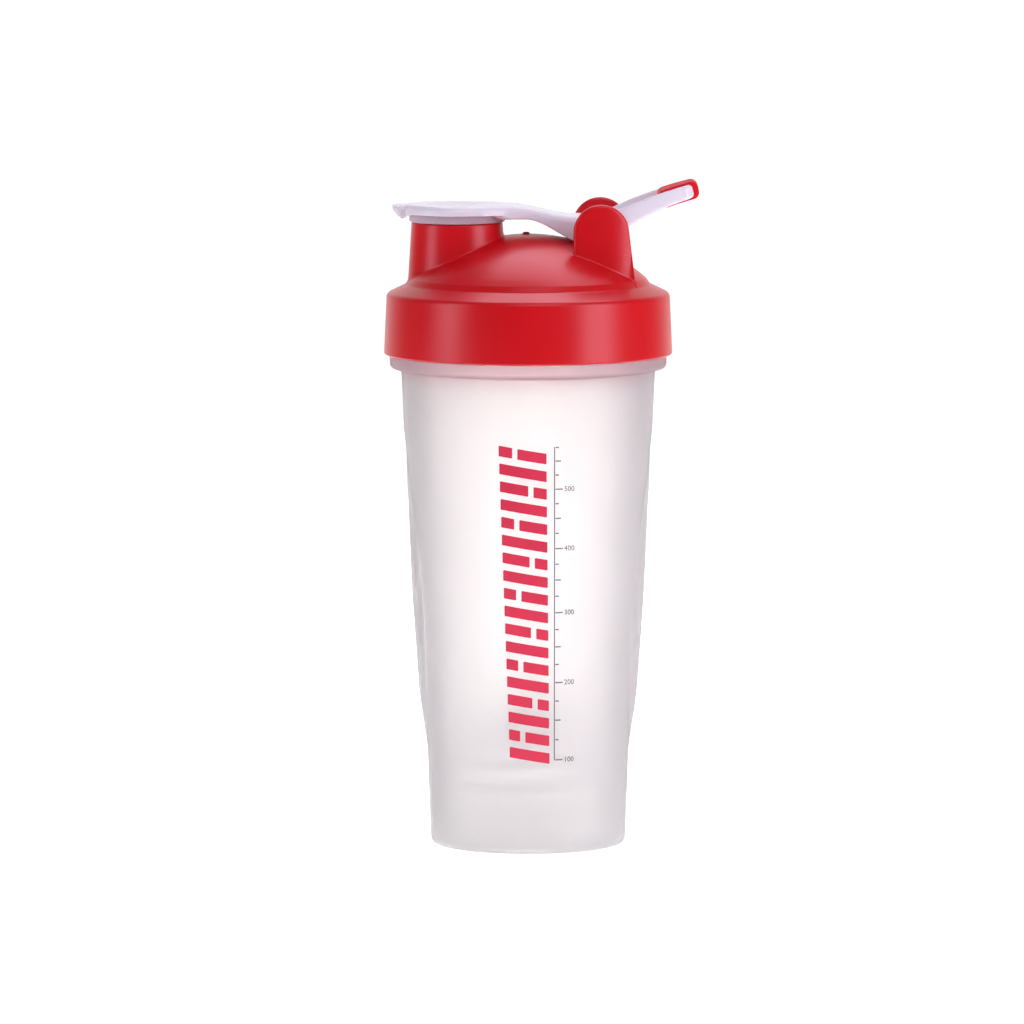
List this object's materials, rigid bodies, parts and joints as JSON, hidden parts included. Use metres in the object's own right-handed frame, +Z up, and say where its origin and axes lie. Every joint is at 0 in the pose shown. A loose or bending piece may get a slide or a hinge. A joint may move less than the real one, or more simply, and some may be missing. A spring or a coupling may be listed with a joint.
{
  "type": "protein shaker bottle",
  "caption": "Translucent plastic shaker cup with a red screw lid, hinged flip cap over an offset spout, swinging carry loop and a loose wire whisk ball.",
  "frame": {"origin": "middle of the cup's base, on the surface that it stands on", "axes": "+Z up along the cup's axis; the spout is at -X and the hinge and carry loop at +X; the hinge axis runs along Y"},
  "size_m": [0.1095, 0.1, 0.2309],
  "materials": {
    "cup_plastic": "frosted translucent polypropylene with a red and a grey print",
    "red_plastic": "semi-gloss moulded polypropylene",
    "white_plastic": "semi-gloss moulded, faintly lavender white",
    "seal_rubber": "soft translucent silicone",
    "red_rubber": "soft satin grip",
    "steel": "drawn stainless wire"
  },
  "bodies": {
    "cup": {"cup": "cup_plastic"},
    "gasket": {"lid_gasket": "seal_rubber"},
    "lid": {"lid": "red_plastic", "hinge_pin": "steel"},
    "flip_cap": {"flip_cap": "white_plastic", "cap_seal": "seal_rubber"},
    "carry_loop": {"carry_loop": "white_plastic", "loop_grip": "red_rubber"},
    "whisk_ball": {"whisk_ball": "steel"}
  },
  "joints": [
    {"name": "lid_lift", "type": "slide", "parent": "cup", "child": "gasket", "axis": [0, 0, 1], "range_m": [0, 0.012]},
    {"name": "lid_turn", "type": "hinge", "parent": "gasket", "child": "lid", "pos_m": [0, 0, 0.18], "axis": [0, 0, 1], "range_deg": [0, 720]},
    {"name": "cap_flip", "type": "hinge", "parent": "lid", "child": "flip_cap", "pos_m": [0.0251, 0, 0.214], "axis": [0, 1, 0], "range_deg": [0, 100]},
    {"name": "loop_swing", "type": "hinge", "parent": "lid", "child": "carry_loop", "pos_m": [0.0251, 0, 0.214], "axis": [0, 1, 0], "range_deg": [-10, 52]},
    {"name": "ball_rise", "type": "slide", "parent": "cup", "child": "whisk_ball", "axis": [0, 0, 1], "range_m": [0, 0.15]}
  ],
  "couplings": [
    {"joint": "lid_lift", "follows": "lid_turn", "m_per_rad": 0.00095493}
  ]
}
